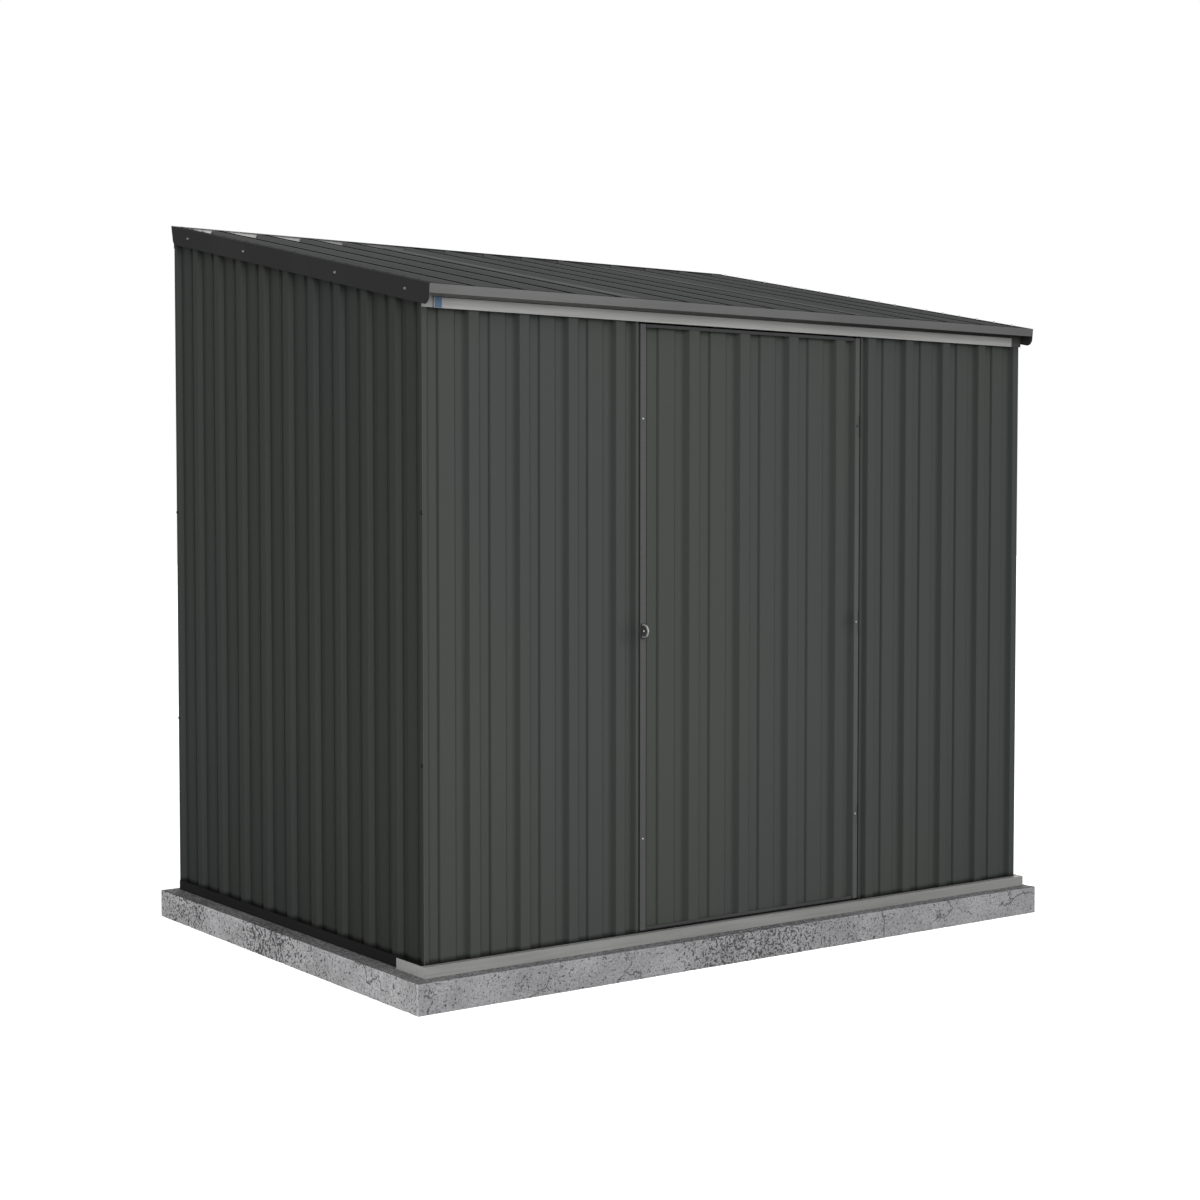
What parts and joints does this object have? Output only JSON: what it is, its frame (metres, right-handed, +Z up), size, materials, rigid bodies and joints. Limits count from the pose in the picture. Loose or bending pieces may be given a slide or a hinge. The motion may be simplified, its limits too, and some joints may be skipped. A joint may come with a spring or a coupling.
{
  "type": "metal tool shed",
  "caption": "Small skillion tool shed of ribbed coated steel sheet on a concrete plinth, with one hinged door in the low front wall",
  "frame": {"origin": "centre of the plinth's underside, at ground level", "axes": "+X along the front from the latch side to the hinge side, +Y from the front to the back, +Z up"},
  "size_m": [2.312, 1.602, 2.1948],
  "materials": {
    "concrete": "cast concrete with open pores",
    "wall_steel": "dark green-grey coated steel sheet",
    "roof_steel": "dark green-grey coated steel sheet",
    "dark_trim": "near-black coated steel",
    "frame_grey": "mid-grey coated steel",
    "bare_steel": "dull light grey metal",
    "hardware": "zinc-plated"
  },
  "bodies": {
    "shed": {"concrete_slab": "concrete", "front_base_channel": "dark_trim", "left_base_channel": "dark_trim", "right_base_channel": "dark_trim", "rear_base_channel": "dark_trim", "front_base_strip": "bare_steel", "front_left_base_return": "bare_steel", "front_right_base_return": "bare_steel", "front_left_panel": "wall_steel", "front_right_panel": "wall_steel", "left_wall_front_panel": "wall_steel", "left_wall_rear_panel": "wall_steel", "right_wall_front_panel": "wall_steel", "right_wall_rear_panel": "wall_steel", "rear_wall_left_panel": "wall_steel", "rear_wall_centre_panel": "wall_steel", "rear_wall_right_panel": "wall_steel", "front_top_channel": "frame_grey", "left_top_channel": "dark_trim", "right_top_channel": "dark_trim", "rear_top_channel": "dark_trim", "door_header_channel": "bare_steel", "latch_jamb": "wall_steel", "hinge_jamb": "wall_steel", "roof_left_panel": "roof_steel", "roof_centre_panel": "roof_steel", "roof_right_panel": "roof_steel", "roof_front_channel": "bare_steel", "roof_rear_cap": "dark_trim", "left_barge_cap": "dark_trim", "right_barge_cap": "dark_trim", "hinge_frame_leaves": "hardware"},
    "door": {"door_panel": "wall_steel", "door_latch_stile": "frame_grey", "door_hinge_stile": "frame_grey", "door_top_rail": "frame_grey", "door_bottom_rail": "frame_grey", "hinge_door_leaves": "hardware", "latch_plate": "dark_trim", "latch_bow": "hardware"}
  },
  "joints": [
    {"name": "door_hinge", "type": "hinge", "parent": "shed", "child": "door", "pos_m": [0.4292, -0.7442, 0.96], "axis": [0, 0, 1], "range_deg": [0, 160]}
  ]
}
